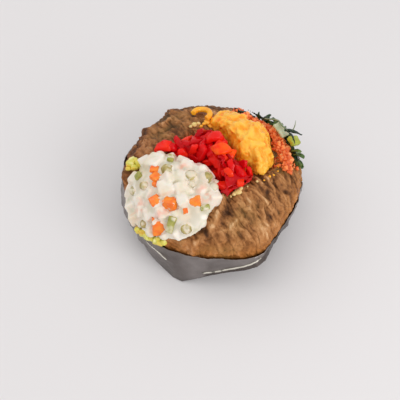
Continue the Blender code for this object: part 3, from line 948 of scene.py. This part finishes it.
def rounded_chip(rng, name, look, length, width, thick, bend, rough=0.9):
    """One soft chopped piece: a bent slab with rounded corners and uneven faces."""
    bm = bmesh.new()
    bmesh.ops.create_cube(bm, size=2)
    bmesh.ops.subdivide_edges(bm, edges=bm.edges[:], cuts=4, use_grid_fill=True)
    skew = rng.uniform(-0.3, 0.3)
    shift = Vector([rng.uniform(0, 50) for _ in range(3)])
    for vert in bm.verts:
        x, y, z = vert.co
        fullness = (abs(x) ** 7 + abs(y) ** 7 + abs(z) ** 7) ** (1 / 7)
        x, y, z = x / fullness, y / fullness, z / fullness
        point = Vector(((x + skew * y) * length / 2, y * width / 2, z * thick / 2)) * MM
        point.z += bend * length * MM * (0.25 - 0.5 * x * x + 0.15 * x * y)
        point += rough * MM * noise.noise_vector(point / (3.5 * MM) + shift)
        vert.co = point
    return finish_piece(name, bm, look)


pepper_look, tree, shader, where = new_surface(
    "red_pepper", 0.2, Subsurface_Weight=0.1, Subsurface_Scale=0.0015, Specular_IOR_Level=0.09,
    Coat_Weight=0.2,
)
tint = add(tree, "ShaderNodeAttribute", attribute_name="tint").outputs["Fac"]
flesh = ramp(
    tree,
    calculate(tree, "ADD", calculate(tree, "MULTIPLY", tint, 0.7), calculate(tree, "MULTIPLY", grain(tree, where, 4 * MM), 0.4)),
    (0.1, (0.42, 0.001, 0.005)),
    (0.4, (0.72, 0.004, 0.006)),
    (0.75, (0.88, 0.014, 0.006)),
    (1.0, (0.97, 0.07, 0.01)),
)
tree.links.new(flesh, shader.inputs["Base Color"])
bump(tree, shader, grain(tree, where, 1.6 * MM, 3.0), 0.2 * MM, 0.6)


def sunk_core(name, node, sink, step, lump, look):
    """The inside of a heap: the CAD solid drawn in by sink and made lumpy."""
    bm = solid_copy(node)
    bmesh.ops.recalc_face_normals(bm, faces=bm.faces)
    for vert, inward in [(vert, -vert.normal.copy()) for vert in bm.verts]:
        vert.co += inward * sink
    core = even_piece(name, bm, step, 3, look)
    for vertex, normal in [(vertex, vertex.normal.copy()) for vertex in core.data.vertices]:
        vertex.co += normal * lump * noise.noise(vertex.co / (3.5 * lump))
    return core


rng = random.Random(5)
# The core has no tint of its own, so it takes the darkest reds of the ramp: painted shade in the gaps between the
# pieces
pepper_core = sunk_core("pepper_core", "red_pepper", PEPPER_CORE_SINK, 0.9 * MM, 1.0 * MM, pepper_look)
chips = [
    rounded_chip(
        rng, "chip", pepper_look, rng.uniform(10, 15), rng.uniform(6, 8.5), rng.uniform(3.6, 5.0), rng.uniform(0.0, 0.2), 1.2
    )
    for _ in range(PEPPER_PIECES)
]
pepper = scatter(
    "red_pepper_pieces", pepper_core, chips, pepper_look,
    Spacing=5.2 * MM, Density=90000.0, Steepest=-0.1, Smallest=0.6, Largest=1.0, Tilt=0.6, Lift=0.6 * MM, Seed=3,
)
chip_look, tree, shader, where = new_surface(
    "orange_red_pepper", 0.22, Subsurface_Weight=0.1, Subsurface_Scale=0.0015, Specular_IOR_Level=0.2
)
warm = ramp(tree, grain(tree, where, 3 * MM), (0.3, (0.92, 0.03, 0.003)), (0.65, (1.0, 0.11, 0.006)))
tree.links.new(warm, shader.inputs["Base Color"])
bump(tree, shader, grain(tree, where, 1.6 * MM, 3.0), 0.2 * MM, 0.6)
pile = top_of(pepper)
warm_chips = []
for x, y, length, width, turn in ((6.5, -1, 11, 8, 20), (12.5, 1.5, 8, 7, 70)):
    chip = rounded_chip(rng, "orange_red_piece", chip_look, length, width, 4.0, 0.2)
    place, normal = pile(x * MM, y * MM)
    if place is None:
        place = Vector((x, y, 60)) * MM
    facing = Euler((rng.uniform(-0.3, 0.3), rng.uniform(-0.3, 0.3), math.radians(turn))).to_matrix().to_4x4()
    chip.data.transform(Matrix.Translation(place + Vector((0, 0, 1.3 * MM))) @ facing)
    warm_chips.append(chip)
for piece in (pepper_core, pepper, *warm_chips):
    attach(piece, "root")
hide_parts("red_pepper")


# Cheese sauce: a thick orange spread of melted cheese, spooned on so that it lies in soft folds and lumps.
SAUCE_STEP = 0.6 * MM
SAUCE_NUBS = 80

sauce_look, tree, shader, where = new_surface(
    "cheese_sauce", 0.25, Subsurface_Weight=0.15, Subsurface_Scale=0.002, Specular_IOR_Level=0.35
)
fold = add(tree, "ShaderNodeAttribute", attribute_name="fold").outputs["Fac"]
# Painted highlight and shade: yellower on the raised folds and deeper orange in the hollows
mixed = calculate(tree, "ADD", calculate(tree, "MULTIPLY", fold, 0.7), calculate(tree, "MULTIPLY", grain(tree, where, 6 * MM, 3.0, 0.8), 0.5))
orange = ramp(
    tree,
    mixed,
    (0.15, (0.95, 0.10, 0.002)),
    (0.4, (1.0, 0.26, 0.008)),
    (0.6, (1.0, 0.40, 0.022)),
    (0.9, (1.0, 0.56, 0.07)),
)
tree.links.new(orange, shader.inputs["Base Color"])
bump(tree, shader, grain(tree, where, 1.4 * MM, 3.0), 0.2 * MM, 0.6)
sauce_top = top_of(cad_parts["cheese_sauce"])
sauce_low, sauce_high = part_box("cheese_sauce")
rng = random.Random(17)
bm = solid_copy("cheese_sauce")
placed = 0
while placed < SAUCE_NUBS:
    x, y = (rng.uniform(sauce_low[i], sauce_high[i]) for i in range(2))
    place, normal = sauce_top(x, y)
    if place is None:
        continue
    size = rng.uniform(3, 8) * MM
    add_ball(bm, size, place - normal * 0.32 * size, rng.uniform(0.6, 0.9))
    placed += 1
sauce = even_piece("cheese_sauce", bm, SAUCE_STEP, 3, sauce_look)
folds = []
for vertex, normal in [(vertex, vertex.normal.copy()) for vertex in sauce.data.vertices]:
    swirled = vertex.co + 3.0 * MM * noise.noise_vector(vertex.co / (7 * MM))
    soft = noise.noise(swirled / (5 * MM)) + 0.6 * noise.noise(swirled / (2.2 * MM))
    crest = ridged(swirled, 6 * MM, 2.2) - 0.4
    vertex.co += normal * (1.1 * soft + 0.5 * crest) * MM
    # Tone for the colour: higher on raised folds and crests and lower in hollows (painted highlight and shade), and
    # lower towards the lower left
    lower_left = smoothstep(30, 8, vertex.co.x / MM + 0.6 * vertex.co.y / MM)
    folds.append(0.62 + 0.45 * soft + 0.3 * crest - 0.55 * lower_left)
mark(sauce, "fold", folds)
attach(sauce, "root")
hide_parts("cheese_sauce")


# Bulgur: cracked wheat cooked with tomato and pepper paste, soft coral grains that cling in clumps along the
# far right, some of them spilled over the skin.
GRAIN = 2.0 * MM

bulgur_look, tree, shader, where = new_surface(
    "bulgur", 0.42, Subsurface_Weight=0.1, Subsurface_Scale=0.001, Specular_IOR_Level=0.4
)
tint = add(tree, "ShaderNodeAttribute", attribute_name="tint").outputs["Fac"]
coral = ramp(
    tree,
    calculate(tree, "ADD", calculate(tree, "MULTIPLY", tint, 0.7), calculate(tree, "MULTIPLY", grain(tree, where, 5 * MM), 0.4)),
    (0.1, (0.60, 0.085, 0.018)),
    (0.45, (0.90, 0.19, 0.045)),
    (0.75, (1.0, 0.30, 0.09)),
    (1.0, (1.0, 0.47, 0.17)),
)
tree.links.new(coral, shader.inputs["Base Color"])
bump(tree, shader, grain(tree, where, 0.6 * MM), 0.1 * MM, 0.5)


def grain_of(rng, size, look, detail=2):
    """One soft grain or crumb, a little longer than wide."""
    bm = bmesh.new()
    made = bmesh.ops.create_icosphere(bm, subdivisions=detail, radius=size / 2)["verts"]
    shift = Vector([rng.uniform(0, 50) for _ in range(3)])
    longer = rng.uniform(1.1, 1.5)
    for vert in made:
        vert.co *= 1 + 0.5 * noise.noise(vert.co / (0.6 * size) + shift)
        vert.co.x *= longer
    return finish_piece("grain", bm, look)


rng = random.Random(8)
bulgur_core = sunk_core("bulgur_core", "bulgur", 0.4 * MM, 0.8 * MM, 1.5 * MM, bulgur_look)
for vertex in bulgur_core.data.vertices:
    vertex.co.z -= 5 * MM * smoothstep(6, -6, vertex.co.y / MM)
bulgur = scatter(
    "bulgur_grains", bulgur_core, [grain_of(rng, GRAIN, bulgur_look) for _ in range(4)], bulgur_look,
    Spacing=1.4 * MM, Density=800000.0, Steepest=-0.4, Smallest=0.6, Largest=1.6, Tilt=1.5, Lift=0.3 * MM, Seed=4,
)


def skin_patch(name, wanted):
    """A copy of the part of the skin whose points are wanted, for loose food to lie on."""
    bm = bmesh.new()
    bm.from_mesh(skin.data)
    unwanted = [face for face in bm.faces if not wanted(face.calc_center_median())]
    bmesh.ops.delete(bm, geom=unwanted, context="FACES")
    mesh = bpy.data.meshes.new(name)
    bm.to_mesh(mesh)
    bm.free()
    return bpy.data.objects.new(name, mesh)


def near_bulgur(point):
    turn = math.degrees(math.atan2(point.y - potato_middle.y, point.x - potato_middle.x))
    reach = math.hypot(point.x - potato_middle.x, point.y - potato_middle.y)
    return (
        -1 < turn < 74
        and 41 * MM < reach < 62 * MM
        and point.z > 38 * MM
        and noise.noise(point / (5 * MM)) > -0.05
    )


loose = skin_patch("bulgur_patch", near_bulgur)
loose_bulgur = scatter(
    "loose_bulgur", loose, [grain_of(rng, GRAIN, bulgur_look) for _ in range(4)], bulgur_look,
    Spacing=1.9 * MM, Density=260000.0, Steepest=0.2, Smallest=0.6, Largest=1.3, Tilt=1.5, Lift=0.5 * MM, Seed=12,
)
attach(loose_bulgur, "root")
for piece in (bulgur_core, bulgur):
    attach(piece, "root")
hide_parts("bulgur")


# Greens: torn dark leaves and parsley along the far right rim, wet with dressing.
greens_look, tree, shader, where = new_surface("greens", 0.38, Specular_IOR_Level=0.45)
tint = add(tree, "ShaderNodeAttribute", attribute_name="tint").outputs["Fac"]
green = ramp(tree, tint, (0.0, (0.012, 0.028, 0.012)), (0.45, (0.03, 0.075, 0.018)), (0.8, (0.08, 0.15, 0.03)), (1.0, (0.2, 0.26, 0.05)))
tree.links.new(green, shader.inputs["Base Color"])
bump(tree, shader, grain(tree, where, 1.2 * MM), 0.15 * MM, 0.5)


def leaf(rng):
    """A torn piece of leaf: a thin curled plate with an uneven outline."""
    bm = bmesh.new()
    bmesh.ops.create_cube(bm, size=1)
    bmesh.ops.subdivide_edges(bm, edges=bm.edges[:], cuts=3, use_grid_fill=True)
    length, width = rng.uniform(6, 11) * MM, rng.uniform(2.4, 4.2) * MM
    curl = rng.uniform(0.4, 1.1)
    shift = Vector([rng.uniform(0, 50) for _ in range(3)])
    for vert in bm.verts:
        x, y, z = vert.co
        point = Vector((x * length, y * width * (1 - 1.6 * x * x), z * 0.5 * MM))
        point.z += curl * width * (2 * y) ** 2 * 0.4 - 0.3 * length * x * x
        point += 0.8 * MM * noise.noise_vector(point / (3 * MM) + shift)
        vert.co = point
    return finish_piece("leaf", bm, greens_look)


rng = random.Random(21)
greens_core = sunk_core("greens_core", "greens", 0.8 * MM, 0.8 * MM, 0.8 * MM, greens_look)
greens = scatter(
    "greens_leaves", greens_core, [leaf(rng) for _ in range(5)], greens_look,
    Spacing=2.4 * MM, Density=300000.0, Steepest=-0.5, Smallest=0.6, Largest=1.1, Tilt=0.5, Lift=0.3 * MM, Seed=9,
)
for piece in (greens_core, greens):
    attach(piece, "root")
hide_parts("greens")


# Dill: a few thin sprigs that stick out past the rim.
SPRIGS = (
    ("stem", 0.6, ((38, 45, 49), (41.6, 41.5, 52.5), (47.7, 38, 55), (50.3, 31.5, 57), (54, 27, 57))),
    ("leaf", 1.2, ((52, 28.5, 56), (58, 26.5, 56.5), (64.5, 24.8, 54.5))),
    ("leaf", 0.9, ((37, 45, 48), (40, 44, 51), (42, 43, 52))),
    ("stem", 0.42, ((57.5, 26.5, 57), (59, 28, 60.5), (59.6, 30.2, 64))),
    ("leaf", 0.8, ((16, 55.5, 47), (18, 55, 48.5), (21, 53, 48))),
    ("leaf", 1.0, ((20, 54, 46.5), (26, 51, 48), (32, 47.5, 48))),
    ("leaf", 0.7, ((54, 27, 56), (57, 22, 57), (59, 17, 54))),
)
stem_look, tree, shader, where = new_surface("green_stem", 0.4, Specular_IOR_Level=0.4)
pale = ramp(tree, grain(tree, where, 2 * MM), (0.3, (0.13, 0.18, 0.09)), (0.7, (0.30, 0.35, 0.22)))
tree.links.new(pale, shader.inputs["Base Color"])
for kind, look in (("leaf", greens_look), ("stem", stem_look)):
    sprig_data = bpy.data.curves.new("herb_" + kind, "CURVE")
    sprig_data.dimensions = "3D"
    sprig_data.bevel_depth = 1 * MM
    sprig_data.bevel_resolution = 2
    sprig_data.use_fill_caps = True
    sprig_data.materials.append(look)
    for owner, thick, line in SPRIGS:
        if owner != kind:
            continue
        spline = sprig_data.splines.new("BEZIER")
        spline.bezier_points.add(len(line) - 1)
        for i, (target, point) in enumerate(zip(spline.bezier_points, line)):
            target.co = Vector(point) * MM
            target.radius = thick * (0.35 if i == len(line) - 1 else 1)
            target.handle_left_type = target.handle_right_type = "AUTO"
    curve = bpy.data.objects.new("herb_" + kind, sprig_data)
    bpy.context.scene.collection.objects.link(curve)
    bpy.context.view_layer.update()
    sprig_mesh = bpy.data.meshes.new_from_object(curve)
    bpy.data.objects.remove(curve)
    if kind == "leaf":
        for vertex in sprig_mesh.vertices:
            vertex.co += 0.5 * MM * noise.noise_vector(vertex.co / (2 * MM))
    sprig = bpy.data.objects.new("herb_" + kind, sprig_mesh)
    bpy.context.scene.collection.objects.link(sprig)
    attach(sprig, "root")

rng = random.Random(4)
for x, y, z, scale, shade in ((61.5, 11, 47.5, 1.5, 0.75), (60, 14.5, 48.5, 1.2, 0.9), (62.5, 6, 45.5, 1.1, 0.6)):
    blade = leaf(rng)
    turned = Euler((rng.uniform(-0.4, 0.4), rng.uniform(0.2, 0.7), rng.uniform(0, 3))).to_matrix().to_4x4()
    blade.data.transform(Matrix.Translation(Vector((x, y, z)) * MM) @ turned @ Matrix.Scale(scale, 4))
    blade.name = "green_leaf"
    mark(blade, "tint", [shade] * len(blade.data.vertices))
    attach(blade, "root")


# Sweetcorn: boiled kernels that fell between potato and foil at the low end, and a few beside the salad.
CORN_BESIDE = (
    (-57, 3.5, 6.5), (-54.5, 0, 5), (-50.6, 2.2, 6.5), (-56.5, 8, 4.5), (-53.5, 5, 4.5), (-59, 0, 4),
)
CORN_IN_GAP = (
    (-51.3, -42.0, 31.5, 5.0), (-48.3, -44.2, 31.2, 5.4), (-45.0, -47.3, 32.0, 5.4), (-41.3, -48.9, 31.8, 5.0),
    (-38.4, -51.4, 32.0, 5.6), (-35.6, -53.4, 33.0, 5.2), (-33.0, -54.8, 35.2, 4.2), (-46.2, -44.4, 34.0, 4.2),
    (-37.0, -51.2, 35.0, 4.4), (-43.2, -47.6, 34.2, 4.2),
)

corn_look, tree, shader, where = new_surface(
    "sweetcorn", 0.28, Subsurface_Weight=0.1, Subsurface_Scale=0.0015, Specular_IOR_Level=0.5
)
tint = add(tree, "ShaderNodeAttribute", attribute_name="tint").outputs["Fac"]
yellow = ramp(tree, tint, (0.0, (0.66, 0.33, 0.02)), (0.4, (0.84, 0.62, 0.08)), (0.75, (0.72, 0.68, 0.11)), (1.0, (0.92, 0.84, 0.34)))
tree.links.new(yellow, shader.inputs["Base Color"])
bump(tree, shader, grain(tree, where, 1.0 * MM), 0.1 * MM, 0.5)
rng = random.Random(2)
corn_core = sunk_core("sweetcorn_core", "sweetcorn", 0.2 * MM, 0.6 * MM, 0.4 * MM, corn_look)
corn = scatter(
    "sweetcorn_kernels", corn_core, [grain_of(rng, 4.6 * MM, corn_look) for _ in range(4)], corn_look,
    Spacing=2.8 * MM, Density=200000.0, Steepest=0.2, Smallest=0.75, Largest=1.2, Tilt=0.8, Lift=0.3 * MM, Seed=6,
)
bm = bmesh.new()
skin_top = top_of(skin)
for x, y, size in CORN_BESIDE:
    place = skin_top(x * MM, y * MM)[0] + Vector((0, 0, 1.6 * MM))
    add_block(bm, [size * MM, 0.8 * size * MM, 0.7 * size * MM], 1.1 * MM, place, any_turn(rng))
for x, y, z, size in CORN_IN_GAP:
    add_block(bm, [size * MM, 0.85 * size * MM, 0.75 * size * MM], 1.2 * MM, Vector((x, y, z)) * MM, any_turn(rng))
beside = finish_piece("sweetcorn_beside_salad", bm, corn_look)
tints = [0.62 + 0.8 * noise.noise(vertex.co / (5 * MM)) for vertex in beside.data.vertices]
mark(beside, "tint", tints)
for piece in (corn_core, corn, beside):
    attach(piece, "root")
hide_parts("sweetcorn")


# Yellow pepper: one bent raw strip, lying on the far side of the slit.
strip_look, tree, shader, where = new_surface(
    "yellow_pepper", 0.25, Subsurface_Weight=0.15, Subsurface_Scale=0.002, Specular_IOR_Level=0.5
)
amber = ramp(tree, grain(tree, where, 5 * MM), (0.3, (0.92, 0.34, 0.008)), (0.7, (0.98, 0.52, 0.03)))
tree.links.new(amber, shader.inputs["Base Color"])
bump(tree, shader, grain(tree, where, 1.5 * MM), 0.15 * MM, 0.4)
strip = even_piece("yellow_pepper_strip", solid_copy("yellow_pepper"), 0.5 * MM, 3, strip_look)
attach(strip, "root")
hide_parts("yellow_pepper")


# Pickle and onion: one yellow-green slice of pickle and one white slice of onion at the far right rim.
def cut_piece(name, node, look, step=0.5 * MM, lump=0.4 * MM):
    """A CAD chunk softened and made a little uneven."""
    piece = even_piece(name, solid_copy(node), step, 3, look)
    for vertex in piece.data.vertices:
        vertex.co += lump * noise.noise_vector(vertex.co / (3 * MM))
    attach(piece, "root")
    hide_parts(node)
    return piece


pickle_look, tree, shader, where = new_surface("pickle", 0.25, Subsurface_Weight=0.15, Subsurface_Scale=0.002)
olive = ramp(tree, grain(tree, where, 3 * MM), (0.3, (0.30, 0.34, 0.03)), (0.7, (0.55, 0.58, 0.07)))
tree.links.new(olive, shader.inputs["Base Color"])
cut_piece("pickle_slice", "pickle", pickle_look)
onion_look, tree, shader, where = new_surface("onion", 0.25, Subsurface_Weight=0.2, Subsurface_Scale=0.002)
white = ramp(tree, grain(tree, where, 3 * MM), (0.3, (0.36, 0.38, 0.20)), (0.7, (0.66, 0.66, 0.46)))
tree.links.new(white, shader.inputs["Base Color"])
cut_piece("onion_slice", "onion", onion_look)

# Crumbs: bits of flesh, sauce and pepper that fell beside the heaps, loose on the skin.
CRUMBS = (
    (17.6, -27.2, 5.4, "flesh"), (19.5, -24.8, 3.2, "flesh"), (15, -28.8, 3.4, "flesh"), (12.5, -30.5, 1.8, "flesh"),
    (-12.5, 33, 4.2, "flesh"), (-9.5, 34.5, 3.0, "flesh"), (-15, 31, 2.4, "flesh"), (31, -17, 1.8, "flesh"),
    (40, -12, 2.0, "sauce"), (43, -9.5, 1.6, "sauce"), (46, -6, 1.5, "sauce"), (-3.2, 36.2, 5.0, "sauce"),
    (-1.0, 34.5, 4.2, "sauce"), (-5.5, 34.5, 2.6, "sauce"), (36, -15, 1.6, "sauce"), (24, -22, 1.6, "flesh"),
    (47, 1, 1.8, "sauce"), (-7.5, 32, 2.6, "sauce"),
)
crumb_looks = {"flesh": mash_look, "sauce": sauce_look}
rng = random.Random(14)
for kind, look in crumb_looks.items():
    bm = bmesh.new()
    for x, y, size, owner in CRUMBS:
        place = skin_top(x * MM, y * MM)[0]
        if owner == kind and place is not None:
            add_ball(bm, size * MM, place + Vector((0, 0, 0.22 * size * MM)), rng.uniform(0.6, 0.9), 2)
    for vert in bm.verts:
        vert.co += 0.45 * MM * noise.noise_vector(vert.co / (1.6 * MM))
    crumbs = finish_piece(kind + "_crumbs", bm, look)
    mark(crumbs, "fold", [0.6] * len(crumbs.data.vertices))
    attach(crumbs, "root")
